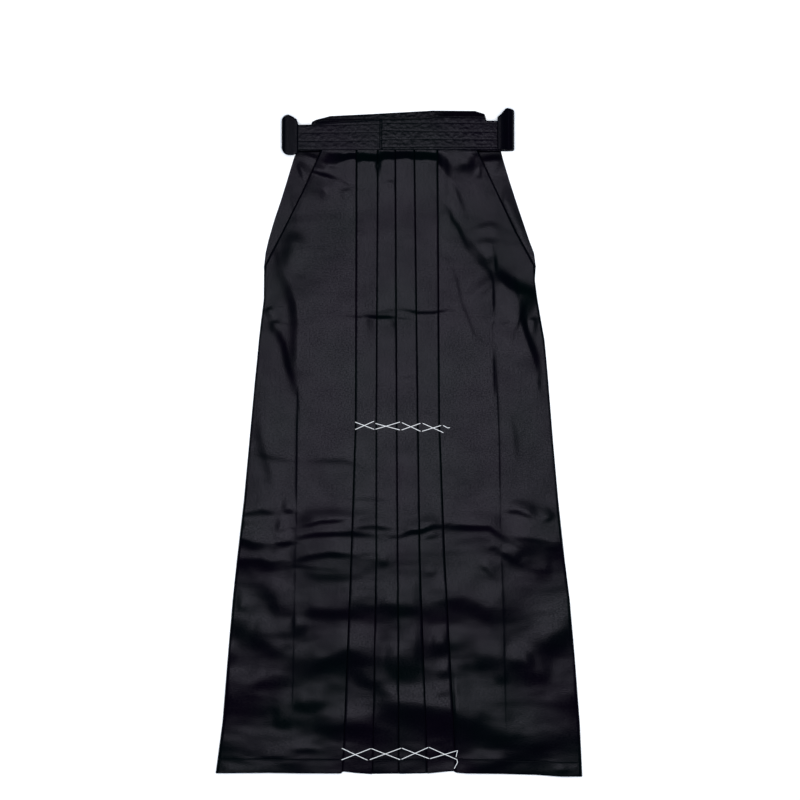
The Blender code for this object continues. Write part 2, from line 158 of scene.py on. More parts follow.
# %% Crease table
CREASES = (
    # line of (x, down), height, steep side, gentle side
    # At the waist: these lines run from right to left, so that their steep side faces the waist
    (((-87, 46), (-112, 39), (-148, 28)), 2.6, 5, 20),
    (((-88, 31), (-104, 26), (-118, 20)), 0.7, 4, 14),
    (((-94, 66), (-116, 57)), 0.8, 4, 12),
    (((-66, 58), (-90, 63)), 0.8, 4, 12),
    (((-30, 4), (-31, 34)), -1.4, 3, 3),
    (((-3, 47), (-20, 46)), 0.6, 2.5, 8),
    (((83, 20), (98, 18), (112, 21)), 1.7, 9, 14),
    (((103, 2), (120, 5)), 0.8, 4, 8),
    (((111, 35), (123, 36)), 0.9, 4, 10),
    (((97, 98), (91, 82), (83, 62), (72, 46), (60, 34)), 0.7, 4, 14),
    # The right front, below the side opening
    (((-156, 114), (-153, 143), (-167, 178)), 2.0, 14, 14),
    (((-172, 168), (-157, 199), (-149, 224), (-147, 250), (-147, 350)), 2.5, 11, 38),
    (((-199, 254), (-176, 260), (-165, 282), (-158, 316), (-146, 351)), 1.8, 7, 20),
    (((-173, 254), (-192, 255)), 0.9, 4, 12),
    (((-181, 231), (-199, 238)), 1.0, 4, 12),
    # The left front, dragging from the pleats to the side
    (((112, 158), (98, 141), (90, 126), (85, 114), (76, 102), (70, 86), (59, 76)), 1.1, 3.4, 24),
    (((137, 250), (136, 219), (135, 192), (131, 179), (123, 171), (108, 155)), 1.5, 4, 26),
    (((156, 117), (135, 110), (120, 113), (105, 118)), 0.6, 3.4, 14),
    (((150, 137), (126, 136), (106, 139)), 0.7, 6, 14),
    (((141, 182), (139, 150)), 0.8, 3, 10),
    (
        ((137, 287), (123, 284), (109, 273), (102, 254), (88, 220), (82, 188), (74, 168), (62, 155)),
        0.7, 3.6, 16,
    ),
    (((207, 223), (190, 215), (172, 210), (156, 200), (142, 186), (133, 173)), 4.7, 11.5, 46),
    (((203, 330), (196, 302), (186, 276), (178, 248), (175, 220)), 2.7, 6, 26),
    (((206, 251), (188, 250)), 1.4, 5, 18),
    (((172, 303), (162, 292), (152, 285)), 0.6, 4, 12),
    (((139, 366), (138, 326), (137, 290)), 0.8, 2.6, 12),
    # The upper packing line
    (((0, 239), (-30, 239), (-54, 239)), 0.4, 2.2, 9),
    (((-2, 247), (-34, 247), (-52, 245)), 2.2, 3.2, 26),
    (((-5, 253), (-16, 254)), 0.6, 3, 9),
    (((76, 236), (50, 240), (27, 240), (14, 237), (-2, 235)), 1.1, 2.8, 20),
    (((28, 338), (12, 336), (-4, 338)), 0.5, 3, 10),
    # Small puckers where the upper basting pulls, and two slack waves beside the folds
    (((0, 362), (14, 356)), 0.45, 3, 8),
    (((4, 372), (10, 392)), 0.5, 3, 8),
    (((20, 370), (26, 388)), 0.5, 3, 8),
    (((35, 374), (45, 386)), 0.5, 3, 8),
    (((-204, 372), (-200, 420), (-186, 470), (-180, 520)), 0.8, 9, 20),
    (((171, 462), (167, 420), (160, 386)), 0.6, 6, 16),
    # The middle
    (((-216, 442), (-180, 449), (-150, 454)), 0.7, 4, 14),
    (((-144, 456), (-112, 452), (-77, 453), (-50, 465)), 0.7, 3.5, 14),
    (((-90, 510), (-50, 508), (-9, 509)), 0.7, 6, 16),
    (((5, 529), (30, 530)), 0.8, 6, 12),
    (((-256, 534), (-232, 530), (-203, 524), (-175, 529)), 2.4, 8, 30),
    (((-174, 525), (-150, 525)), 1.2, 5, 14),
    (((-233, 552), (-215, 552)), 0.8, 4, 10),
    (((-183, 554), (-163, 555)), 1.1, 5, 12),
    (((-272, 556), (-244, 564), (-214, 573), (-187, 575)), 3.4, 9, 40),
    (((-184, 577), (-152, 572)), 1.2, 5, 14),
    (((-280, 597), (-203, 597), (-186, 603), (-163, 607)), 3.8, 11, 46),
    (((-152, 551), (-116, 541), (-66, 538)), 2.2, 5.5, 20),
    (((-72, 552), (-39, 549), (-6, 553)), 1.4, 4.5, 16),
    (((-166, 567), (-123, 560), (-70, 558), (-28, 563)), 2.3, 5.5, 26),
    (((-164, 601), (-133, 593), (-102, 588), (-60, 591)), 2.1, 6, 26),
    (((-34, 600), (-12, 602)), 1.1, 7, 12),
    (((-146, 622), (-62, 620)), 1.0, 7, 20),
    (((-3, 565), (17, 557), (31, 556), (49, 550), (66, 548)), 2.6, 4.2, 16),
    (((58, 549), (91, 549), (134, 550), (146, 559), (162, 572)), 2.3, 5.5, 18),
    (((31, 568), (61, 562)), 0.9, 4, 10),
    (((36, 619), (58, 619)), 0.6, 4, 10),
    (((131, 582), (145, 582)), 0.8, 3, 8),
    (((148, 586), (165, 595), (179, 605)), 2.0, 6, 14),
    (((150, 525), (175, 526), (193, 533), (208, 538)), 2.0, 6, 14),
    (((209, 545), (229, 531)), 1.2, 5, 12),
    (((146, 569), (205, 567), (248, 573), (288, 577)), 4.6, 26, 40),
    (((160, 566), (200, 569), (258, 577)), 0.6, 4, 16),
    (((215, 580), (240, 583)), 0.7, 4, 8),
    (((118, 601), (144, 627)), 1.0, 5, 12),
    # The lower third: broad and soft, and all of it sinks a little towards the hem
    (((-150, 596), (100, 596)), 4.2, 112, 76),
    (((-10, 704), (40, 704)), 1.6, 34, 30),
    (((-280, 735), (-232, 735)), 2.0, 22, 14),
    (((-208, 628), (-178, 650), (-170, 700)), 2.1, 14, 24),
    (((-241, 668), (-219, 668)), 1.4, 7, 14),
    (((-272, 690), (-210, 690)), 2.2, 22, 24),
    (((-248, 772), (-246, 862)), 1.4, 14, 24),
    (((-228, 703), (-156, 740)), 2.4, 14, 26),
    (((-162, 696), (-129, 696)), 2.0, 13, 18),
    (((-160, 672), (-72, 672), (-35, 669)), 2.3, 12, 24),
    (((-36, 666), (40, 664)), 3.2, 16, 26),
    (((-13, 643), (37, 645)), 1.2, 9, 16),
    (((-162, 765), (-79, 729), (-50, 737), (-19, 740)), 3.6, 17, 26),
    (((-72, 757), (8, 800)), 2.2, 12, 18),
    (((-26, 738), (40, 736)), 4.2, 32, 22),
    (((44, 722), (77, 724)), 2.6, 14, 20),
    (((51, 764), (81, 764)), 1.6, 9, 14),
    (((40, 790), (92, 791)), 1.8, 10, 16),
    (((-40, 808), (38, 812), (82, 820), (104, 828)), 4.6, 24, 19),
    (((56, 815), (82, 820), (126, 836), (163, 850), (252, 851)), 4.8, 24, 32),
    (((118, 900), (240, 853)), 1.2, 10, 14),
    (((102, 744), (165, 744)), 2.6, 15, 20),
    (((154, 748), (202, 749)), 2.4, 12, 16),
    (((135, 769), (165, 769)), 1.6, 9, 14),
    (((172, 765), (231, 764)), 2.2, 12, 16),
    (((190, 742), (246, 690), (274, 664)), 3.6, 20, 24),
    (((213, 790), (284, 790)), 2.4, 20, 22),
    (((247, 860), (250, 785)), 0.8, 14, 24),
    (((194, 612), (228, 612)), 1.6, 12, 18),
    (((48, 664), (74, 654), (98, 652), (120, 662), (140, 679), (156, 705)), 2.6, 17, 30),
    (((-225, 772), (-155, 775)), 2.4, 14, 20),
    (((-280, 781), (-195, 783)), 3.0, 28, 20),
    (((-162, 806), (-99, 807)), 2.4, 11, 20),
    (((-188, 830), (-151, 831)), 2.2, 12, 20),
    (((-133, 837), (-72, 838), (-22, 839)), 2.6, 13, 20),
    (((-214, 884), (-158, 884)), 0.8, 5, 10),
    (((-162, 873), (-114, 873)), 1.0, 6, 12),
    (((88, 893), (165, 893)), 1.2, 9, 14),
    (((227, 899), (253, 899)), 0.8, 5, 8),
    # The innermost fold of the left front stands up towards the hem, and throws a shadow
    (((81.5, 740), (84.5, 800), (87, 893)), 1.7, 3.6, 22),
    # The lines where the sides were folded over the middle
    (((-148, 352), (-148.5, 400), (-149.5, 490), (-150, 540)), 0.7, 1.7, 12),
    (((-150, 540), (-154, 760), (-158, 870)), 0.3, 1.7, 12),
    (((156, 850), (153, 700), (148, 540)), 0.3, 1.7, 12),
    (((148, 540), (146, 420), (143, 350), (141, 288)), 0.42, 1.7, 12),
    # The hem lifts a little where the cloth isn't held by the pleats
    (((-320, 912), (-90, 910)), 4.8, 12, 54),
    (((204, 912), (300, 912)), 3.4, 12, 44),
)

# %% [markdown]
# ## From lines to relief
# For each crease, every point of the cloth asks how far it is from the line, on which side, and
# how far along. A bell curve across and an easing at both ends make one soft ridge. Adding them
# up gives a relief that is as uneven as the table. A slow noise with a fixed pattern adds the
# slackness that no one would draw by hand.

# %% Crease helpers
SIDE_FADE = 1.6
SLACK_WAVES = (
    # how wide and how long the waves are, a fixed pattern, and their height above and below
    (62, 34, 3.7, 0.35, 1.5),
    (27, 10, 9.1, 0.14, 0.26),
)
SLACKER_BELOW = 520


def waves(x, down, wide, long, pattern):
    """Smooth noise between about -1 and 1 at each point."""
    spots = zip(np.ravel(x) / wide, np.ravel(down) / long)
    return np.reshape([noise.noise(Vector((a, b, pattern))) for a, b in spots], np.shape(x))


def ridge(x, down, line, height, steep, gentle):
    """One crease: a bell across its line, which eases out at both ends."""
    nearest = np.full(x.shape, 1e9)
    side = np.zeros(x.shape)
    along = np.zeros(x.shape)
    lengths = [math.dist(a, b) for a, b in zip(line, line[1:])]
    total, before = sum(lengths), 0.0
    for (x0, d0), (x1, d1), length in zip(line, line[1:], lengths):
        step_x, step_d = (x1 - x0) / length, (d1 - d0) / length
        forward = (x - x0) * step_x + (down - d0) * step_d
        held = np.clip(forward, 0, length)
        away_x, away_d = x - x0 - held * step_x, down - d0 - held * step_d
        away = np.hypot(away_x, away_d)
        closer = away < nearest
        nearest = np.where(closer, away, nearest)
        side = np.where(closer, step_x * away_d - step_d * away_x, side)
        along = np.where(closer, before + held, along)
        before += length
    # The change from the steep to the gentle side is eased, or it would show as a line
    steepness = smooth(0.5 + side / (0.6 * (steep + 1.0)))
    width = mix(gentle, steep, steepness)
    end = 0.3 * total + 4
    ends = mix(0.25, 1.0, smooth(along / end)) * mix(0.25, 1.0, smooth((total - along) / end))
    return height * np.exp(-((nearest / width) ** 2)) * ends


def slackness(x, down):
    """Slow waves of the loose cloth, stronger towards the hem."""
    lower = smooth((down - SLACKER_BELOW) / 200)
    relief = 0
    for wide, long, pattern, above, below in SLACK_WAVES:
        relief = relief + waves(x, down, wide, long, pattern) * mix(above, below, lower)
    return relief * smooth(down / 40)


def front_relief(x, down):
    """Height that the creases and the slack add to the front, fading out at the side folds."""
    relief = slackness(x, down)
    for crease in CREASES:
        relief += ridge(x, down, *crease)
    side = np.where(x < 0, outline("right", down), outline("left", down))
    return relief * smooth(np.abs(side - x) / SIDE_FADE) * smooth((down + TUCKED_IN) / 4)


# %% [markdown]
# ## The rise to the waistband
# The straps are folded away under the waistband, so the front climbs on to them there. The
# pleats are stitched down flat under the band and then drop off its edge, which leaves the dark
# hollow below the band. How far below the band the drop starts, and how long it is, differs from
# strip to strip, because each one was pulled a little differently when it was basted.

# %% Rise at the waist
DROPS = {
    # Where across the front, where the drop starts, and how long it is
    "x": (-146, -119, -104, -79, -65, -60, -54, -43, -33, -28, -24, 1, 31, 56, 64, 80, 104, 116),
    "start": (0, 1, 2, 3.5, 4, 2.5, 2, 4, 5, 1, 1, 1, 1, 2, 1, 2, 2, 3),
    "length": (45, 40, 24, 11, 9, 16, 14, 11, 12, 20, 13, 12, 13, 14, 30, 46, 40, 26),
}
RAGGED = 2.4
LONG_RISE = 95.0
# The share of the rise that drops at the band's edge, beside the pleats and over them, and how
# much less it is beside the innermost fold of the left front
SIDE_DROP = 0.36
PLEATS_DROP = 0.58
LESS_DROP = 0.16


def waist_pull(down):
    return np.exp(-np.maximum(down, 0) / 14)


def waist_lift(x, down):
    rise = BAND_MIDDLE - TOP_LAYER_Z
    middle = smooth((x + 112) / 34) * smooth((84 - x) / 22)
    drop = mix(SIDE_DROP, PLEATS_DROP, middle) - LESS_DROP * smooth((x - 66) / 20)
    start, length = read(DROPS, "start", x, key="x"), read(DROPS, "length", x, key="x")
    start = start + RAGGED * waves(x, down, 11, 23, 5.3) * smooth(down / 8)
    ledge = 1 - smooth((down - start) / length)
    return rise * (drop * ledge + (1 - drop) * (1 - smooth(down / LONG_RISE)))


def fold_top(name, down):
    return mix(FLOOR_LAYER + FOLD_LAYERS[name] * LAYER, TOP_LAYER_Z, waist_pull(down))


# %% [markdown]
# ## One panel as a grid
# A pleated front is one piece of cloth, so it is made as one grid: across it, the cloth runs
# from the side seam over the panel, turns under at a fold, comes back inside, turns again, and
# shows as the next strip. That zigzag is the same at every row from waist to hem, only the
# places of the folds move. Drawing it once as a function and sweeping it down the length gives
# all pleats with true turned edges. Rows are close together where the cloth bends most.

# %% Rows of the grid
ROW_STEPS = (
    # from, to, spacing
    (-TUCKED_IN, 24, 1.2),
    (24, 60, 2.2),
    (60, 225, 4.0),
    (225, 260, 1.8),
    (260, 500, 4.0),
    (500, 620, 2.6),
    (620, 860, 4.0),
    (860, 884, 2.0),
    (884, 898, 0.9),
    (898, FRONT_LENGTH, 1.5),
)


def grid_rows(steps):
    rows = [np.array([steps[0][0]])]
    for start, end, spacing in steps:
        count = max(1, round((end - start) / spacing))
        rows.append(np.linspace(start, end, count + 1)[1:])
    return np.concatenate(rows)


rows = grid_rows(ROW_STEPS)
print("rows of the front grids:", len(rows))

# %% [markdown]
# The path functions below work on all rows at once: each adds columns of points, one value per
# row. `turn` is the half circle of a folded edge, `run` is a stretch that eases from one height
# to the next.

# %% Path helpers
TURN_COLUMNS = 6
SEAM_START = 24


class Path:
    """Columns of x and z, one value for each row."""

    def __init__(self):
        self.x, self.z = [], []

    def point(self, x, z):
        self.x.append(np.broadcast_to(x, rows.shape).astype(float))
        self.z.append(np.broadcast_to(z, rows.shape).astype(float))

    def run(self, x0, z0, x1, z1, count):
        for share in (np.arange(count) + 1) / count:
            self.point(mix(x0, x1, share), mix(z0, z1, smooth(share)))

    def turn(self, edge, high, low, outward):
        radius = (high - low) / 2
        centre = edge - outward * (radius + CLOTH / 2)
        for k in range(TURN_COLUMNS + 1):
            angle = math.pi / 2 - math.pi * k / TURN_COLUMNS
            self.point(centre + outward * radius * math.cos(angle), low + radius * (1 + math.sin(angle)))

    def grid(self):
        """Arrays of rows by columns: x, the distance down the cloth, and z."""
        x, z = np.array(self.x).T, np.array(self.z).T
        return x, np.repeat(rows[:, None], x.shape[1], axis=1), z


def sewn_share():
    """0 along the side opening and 1 where the side is sewn, for every row."""
    return smooth((rows - OPENING_LENGTH) / SEAM_START)


FACING = (
    # The turned-under edge of an opening: how far in from the edge, and how far below the cloth
    (7.0, 1.0),
    (3.5, 1.0),
    (1.0, 0.95),
    (0.3, 0.7),
    (0.25, 0.3),
)


def side_turn(path, edge, inward, flat_z, seam):
    """The rounded side of a leg, or the turned-under edge of its opening where seam is 0."""
    for k, (inset, below) in enumerate(FACING):
        angle = math.pi / 2 * k / len(FACING)
        round_x = CLOTH / 2 + SIDE_RADIUS * (1 - math.cos(angle))
        round_z = LOOSE - SIDE_RADIUS * (1 - math.sin(angle))
        path.point(edge + inward * mix(inset, round_x, seam), mix(flat_z - below, round_z, seam))


# %% [markdown]
# ## The fronts
# The wearer's right front has two pleats, and its last strip runs on under the middle. The left
# front has three, and its innermost fold is the centre line of the garment.

# %% Front paths
PACKING_LINE = {
    # The line where each side was folded over the middle, for the packet
    "down": (0, 250, 350, 440, 600, 760, 910),
    "right": (-147.5, -147.5, -148, -149, -150, -154, -159),
    "left": (138, 140, 143, 146.5, 150, 154.5, 158),
}
SIDE_COLUMNS = 28
LINE_STEPS = (-3.0, -1.8, -0.9, 0.0, 0.9, 1.8)
PANEL_COLUMNS = 32
STRIP_COLUMNS = 12
HIDDEN_COLUMNS = 2
HIDDEN_INSET = 1.2
ROLL_WIDTH = 1.0
ROLL_DROP = 0.65
ROLL_STEPS = (1.0, 0.8, 0.6, 0.4)
STRIP_SWELL = 1.0
DIP_STEPS = (
    # How far out from a fold, and the share of the drop under it that is left there
    (-1.5, 1.0),
    (0.1, 0.5),
    (0.5, 0.2),
    (0.9, 0.0),
)
LAST_DIP_STEPS = (
    # The same at the far side of the right front's last strip, which ends under the middle
    (-0.8, 0.3),
    (-0.1, 0.75),
    (0.8, 1.0),
    (6.0, 1.0),
)
LEG_EDGE_STEPS = (
    # How far beyond the middle lap, and the share of the way down to the floor
    (-6.0, 0.0),
    (-0.3, 0.0),
    (0.5, 0.3),
    (0.8, 0.75),
    (1.3, 1.0),
    (2.2, 1.0),
)


def roll(away):
    """How far the cloth sinks towards a pressed edge, so that the edge reads as a dark line."""
    return ROLL_DROP * np.clip(1 - away / ROLL_WIDTH, 0, 1) ** 2


def front_path(half):
    inward = HALVES[half]["inward"]
    folds = HALVES[half]["folds"]
    edge = np.where(rows < OPENING_LENGTH, read(SLANTS, half, rows), outline(half, rows))
    seam = sewn_share()
    pull = waist_pull(rows)
    fold_x = read(PLEATS, folds[0], rows)
    top = fold_top(folds[0], rows)
    depth = PLEAT_SHARE * np.abs(read(PLEATS, folds[1], rows) - fold_x)
    width = np.abs(fold_x - edge)

    def panel_z(along):
        z = mix(LOOSE, top, np.clip(along / (width - depth), 0, 1))
        return mix(z, TOP_LAYER_Z, pull) - 1.5 * roll(along) * (1 - seam) - roll(width - along)

    path = Path()
    side_turn(path, edge, inward, mix(panel_z(0 * rows), LOOSE, seam), seam)
    # The columns crowd at the packing line, where the cloth has a sharp bend
    start = mix(2.8, CLOTH / 2 + SIDE_RADIUS, seam)
    packed = np.clip(inward * (read(PACKING_LINE, half, rows) - edge), start + 9, width - 12)
    stretches = [mix(start, packed - 3, share) for share in np.arange(SIDE_COLUMNS) / SIDE_COLUMNS]
    stretches += [packed + step for step in LINE_STEPS]
    shares = np.arange(PANEL_COLUMNS) / PANEL_COLUMNS
    stretches += [mix(packed + 3, width - ROLL_STEPS[0], share) for share in shares]
    for along in stretches:
        path.point(edge + inward * along, panel_z(along))
    for away in ROLL_STEPS:
        path.point(fold_x - inward * away, panel_z(width - away))
    for k, name in enumerate(folds):
        fold_x = read(PLEATS, name, rows)
        top = fold_top(name, rows)
        inner, low = top - LAYER, top - 2 * LAYER
        path.turn(fold_x, top - ROLL_DROP, inner, inward)
        if name == "third":
            break
        run_end = fold_x - inward * (depth - HIDDEN_INSET)
        path.run(fold_x - inward * HIDDEN_INSET, inner, run_end, inner, HIDDEN_COLUMNS)
        path.turn(fold_x - inward * depth, inner, low, -inward)
        if k + 1 < len(folds):
            next_x = read(PLEATS, folds[k + 1], rows)
            next_top = fold_top(folds[k + 1], rows)
            for out, left in DIP_STEPS:
                path.point(fold_x + inward * out, mix(next_top, low, left))
            strip_start = fold_x + inward * DIP_STEPS[-1][0]
            strip_end = next_x - inward * ROLL_WIDTH
            path.run(strip_start, next_top, strip_end, next_top, STRIP_COLUMNS)
            for away in ROLL_STEPS[1:]:
                path.point(next_x - inward * away, next_top - roll(away))
            depth = PLEAT_SHARE * np.abs(next_x - fold_x)
    centre_fold = read(PLEATS, "third", rows)
    centre = centre_fold + CENTRE_LAP
    if half == "right":
        # The last strip dips under both folds beside it, and ends hidden under the middle
        high = low + STRIP_SWELL
        for out, left in DIP_STEPS:
            path.point(fold_x + out, mix(high, low, left))
        path.run(fold_x + DIP_STEPS[-1][0], high, centre_fold - 1.6, high, STRIP_COLUMNS)
        for out, left in LAST_DIP_STEPS:
            path.point(centre_fold + out, mix(high, low, left))
        path.point(centre - 1.1, low)
    return path, centre


def lift_path(path, half, centre):
    """The path as arrays of rows by columns, lifted at the waist and creased."""
    x, down, z = path.grid()
    relief = front_relief(x, down)
    lowest = np.minimum(z, RESTING)
    z = np.maximum(z + relief, lowest) + waist_lift(x, down)
    if half == "right":
        return x, down, z
    # The left leg's inner edge goes down to the floor below the crotch
    divided = smooth((rows - CROTCH_DEPTH) / LEG_PARTING)
    level = fold_top("third", rows) - LAYER + waist_lift(centre, rows)
    for beyond, share in LEG_EDGE_STEPS:
        inner_x = centre + beyond
        inner_relief = front_relief(inner_x, rows)
        inner_z = mix(level, FLOOR_LAYER, share * divided) + inner_relief * (1 - share * divided)
        x = np.column_stack([x, inner_x])
        z = np.column_stack([z, inner_z])
        down = np.column_stack([down, rows])
    return x, down, z


# %% [markdown]
# ## Cloth from a grid
# The grid becomes a mesh of quads with a UV map in real metres: `u` follows the cloth across its
# folds, and `v` runs down the length, so that a weave in the material is never stretched.
# A Solidify modifier then gives the cloth its thickness on both sides of the drawn line.

# %% Grid to mesh
def added(name, data):
    """A new object with this data, put into the scene."""
    made = bpy.data.objects.new(name, data)
    bpy.context.scene.collection.objects.link(made)
    return made


def mesh_object(name, points, faces, uv, finish):
    """A smooth mesh with one UV value for each point, both given in millimetres."""
    mesh = bpy.data.meshes.new(name)
    mesh.from_pydata((points * MM).tolist(), [], faces)
    layer = mesh.uv_layers.new(name="cloth")
    loops = np.zeros(len(mesh.loops), np.int32)
    mesh.loops.foreach_get("vertex_index", loops)
    layer.data.foreach_set("uv", (uv * MM)[loops].ravel())
    mesh.shade_smooth()
    mesh.materials.append(finish)
    return added(name, mesh)


def cloth_object(name, x, y, z, v, finish):
    count_rows, count_columns = x.shape
    points = np.stack([x, y, z], axis=-1).reshape(-1, 3)
    corner = np.arange(count_rows * count_columns).reshape(count_rows, count_columns)
    quads = [corner[:-1, :-1], corner[1:, :-1], corner[1:, 1:], corner[:-1, 1:]]
    faces = np.stack(quads, axis=-1).reshape(-1, 4).tolist()
    across = np.hypot(np.diff(x, axis=1), np.diff(z, axis=1))
    middle_row = np.concatenate([[0], np.cumsum(across[count_rows // 2])])
    u = np.repeat(middle_row[None, :], count_rows, axis=0)
    made = mesh_object(name, points, faces, np.stack([u, v], axis=-1).reshape(-1, 2), finish)
    # The grid is turned over if most of it faces down
    if sum(face.normal.z * face.area for face in made.data.polygons) < 0:
        made.data.flip_normals()
    solid = made.modifiers.new("cloth thickness", "SOLIDIFY")
    solid.thickness = CLOTH * MM
    solid.offset = 0.0
    return made


# %% [markdown]
# ## Colour and node helpers
# Colours are written as the hex values that a designer would pick on a screen, and one function
# turns them into the linear values that the shader wants. One more function adds a node: its
# settings are plain attributes, its inputs are values or links. The steps that the finishes
# share, a cloudy noise, a range, a relief and a mix of two colours, have a function each.

# %% Material helpers
def linear(hex_colour):
    values = [int(hex_colour[k : k + 2], 16) / 255 for k in (1, 3, 5)]
    return (*[v / 12.92 if v <= 0.04045 else ((v + 0.055) / 1.055) ** 2.4 for v in values], 1.0)


def feed(tree, node, inputs):
    """Gives the inputs of a node their values, or links them."""
    for name, value in inputs.items():
        socket = node.inputs[name]
        if isinstance(value, bpy.types.NodeSocket):
            tree.links.new(value, socket)
        else:
            socket.default_value = value


def add_node(tree, kind, inputs=None, **settings):
    made = tree.nodes.new(kind)
    for name, value in settings.items():
        setattr(made, name, value)
    feed(tree, made, inputs or {})
    return made


def cloud(tree, scale, detail, **place):
    given = {"Scale": scale, "Detail": detail, **place}
    return add_node(tree, "ShaderNodeTexNoise", given).outputs["Fac"]


def ranged(tree, value, source, target=(0.0, 1.0)):
    limits = {"From Min": source[0], "From Max": source[1], "To Min": target[0], "To Max": target[1]}
    return add_node(tree, "ShaderNodeMapRange", {"Value": value, **limits}).outputs["Result"]


def bumps(tree, height, strength, distance, **under):
    given = {"Height": height, "Strength": strength, "Distance": distance, **under}
    return add_node(tree, "ShaderNodeBump", given).outputs["Normal"]


def mixed(tree, share, first, second):
    given = {"Factor": share, "A": linear(first), "B": linear(second)}
    return add_node(tree, "ShaderNodeMix", given, data_type="RGBA").outputs["Result"]


def new_material(name):
    made = bpy.data.materials.new(name)
    made.use_nodes = True
    return made, made.node_tree, made.node_tree.nodes["Principled BSDF"]


# %% [markdown]
# ## Woven polyester satin
# The cloth is a black polyester weave with a satin face. Long floats of thread lie side by side
# on it and give a broad, soft gloss, and everything that is not gloss is nearly black. The real
# threads are about 0.3 mm apart, too fine for this picture, so the lines here are 0.9 mm apart,
# and an uneven grain of 1.4 by 2.3 mm stands for the slubs that still show at arm's length. The
# black dye is not even either: it drifts between a purplish and a greenish black.

# %% Satin material
THREAD_SPACING = 0.0009
THREAD_RELIEF = 0.05
GRAIN = 0.0014
GRAIN_GLOSS = 0.13
WEAR_GLOSS = (-0.03, 0.04)


def woven_satin(name, colours, roughness, specular, grain_relief):
    finish, tree, shader = new_material(name)
    uv = add_node(tree, "ShaderNodeUVMap", uv_map="cloth").outputs["UV"]
    threads = add_node(
        tree,
        "ShaderNodeTexWave",
        {"Vector": uv, "Scale": 0.5 / THREAD_SPACING / math.pi, "Distortion": 0.6, "Detail": 1.0},
        wave_type="BANDS",
        bands_direction="DIAGONAL",
    )
    # The slubs lie along the weft, so their pattern is drawn out across the cloth
    weft = add_node(tree, "ShaderNodeMapping", {"Vector": uv, "Scale": (0.6, 1.0, 1.0)}).outputs["Vector"]
    grain = cloud(tree, 1 / GRAIN, 1.0, Vector=weft)
    nap = cloud(tree, 26.0, 4.0, Vector=uv)
    dye = cloud(tree, 7.0, 2.0, Vector=uv)
    thread_bumps = bumps(tree, threads.outputs["Fac"], THREAD_RELIEF, 0.0002)
    # Slubs scatter more or less of the lamp's image, and so does the hand-smoothed nap
    slubs = ranged(tree, grain, (0.3, 0.7), (roughness - GRAIN_GLOSS, roughness + GRAIN_GLOSS))
    wear = ranged(tree, nap, (0.3, 0.7), WEAR_GLOSS)
    gloss = add_node(tree, "ShaderNodeMath", {0: slubs, 1: wear}, operation="ADD")
    surface = {
        "Base Color": mixed(tree, ranged(tree, dye, (0.38, 0.62)), *colours),
        "Roughness": gloss.outputs["Value"],
        "Normal": bumps(tree, grain, grain_relief, 0.0006, Normal=thread_bumps),
        "Specular IOR Level": specular,
        "Specular Tint": linear("#e6e2f5"),
    }
    feed(tree, shader, surface)
    return finish


satin = woven_satin("woven_polyester_satin_black", ("#030106", "#000404"), 0.29, 0.033, 0.18)
print("made", satin.name)

# %% [markdown]
# ## Laying the fronts
# Each front replaces its solid, which is hidden, and hangs from the root body.


# The turned hem drops away at its line of stitches and swells again below it
HEM_GROOVE = 0.3
HEM_GROOVE_START, HEM_GROOVE_END = 889, 892
HEM_SWELL = 16
fronts = []
for half in HALVES:
    path, centre = front_path(half)
    x, down, z = lift_path(path, half, centre)
    y = hem_y(x, down)
    swell = smooth((down - HEM_GROOVE_END) / HEM_SWELL)
    z = z - HEM_GROOVE * smooth((down - HEM_GROOVE_START) / 1.8) * (1 - swell)
    name = f"cloth_front_{half}"
    cloth = cloth_object(name, x, y, z, down, satin)
    fronts.append(cloth)
    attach(cloth, "root")
    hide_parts(f"front_{half}")
    print("   triangles", 4 * (x.shape[0] - 1) * (x.shape[1] - 1))

# %% [markdown]
# ## The backs
# The backs lie on the surface, so they are flat. They show only beside the slanted openings,
# where the front is cut away, and there they have a few soft folds of their own.

# %% Backs
BACK_ROW_STEPS = ((-TUCKED_IN, 190, 3.0), (190, FRONT_LENGTH, 9.0))
BACK_CREASES = (
    (((-150, 14), (-144, 26), (-136, 44)), 1.2, 4, 9),
    (((-160, 60), (-152, 84), (-146, 108)), 0.6, 4, 9),
    (((-112, 14), (-128, 9), (-148, 2)), 1.0, 3.5, 8),
    (((158, 12), (136, 14), (116, 16)), 2.0, 5, 12),
    (((150, 24), (128, 26)), 0.7, 4, 8),
    (((157, 46), (156, 72), (166, 96), (180, 126)), 1.3, 4, 12),
    (((170, 96), (184, 134), (192, 152)), 0.8, 4, 10),
)

rows = grid_rows(BACK_ROW_STEPS)
# Columns are closer together in the strip that shows beside an opening
SHOWN_STRIP = 60
SHOWN_COLUMNS, BACK_COLUMNS = 24, 22


def back_path(half):
    inward = HALVES[half]["inward"]
    edge = outline(half, rows)
    path = Path()
    for angle in (0, 0.3, 0.6, 0.9, 1.2):
        round_x = edge + inward * (CLOTH / 2 + SIDE_RADIUS * (1 - math.cos(angle)))
        path.point(round_x, FLOOR_LAYER + sewn_share() * SIDE_RADIUS * (1 - math.sin(angle)))
    start = edge + inward * (CLOTH / 2 + SIDE_RADIUS)
    centre = read(PLEATS, "third", rows) + CENTRE_LAP
    end = centre - 0.8
    if half == "left":
        end = centre - 0.5 + mix(0.0, 3.0, smooth((rows - CROTCH_DEPTH) / LEG_PARTING + 1))
    strip = start + inward * SHOWN_STRIP
    path.run(start, FLOOR_LAYER, strip, FLOOR_LAYER, SHOWN_COLUMNS)
    path.run(strip, FLOOR_LAYER, end, FLOOR_LAYER, BACK_COLUMNS)
    return path


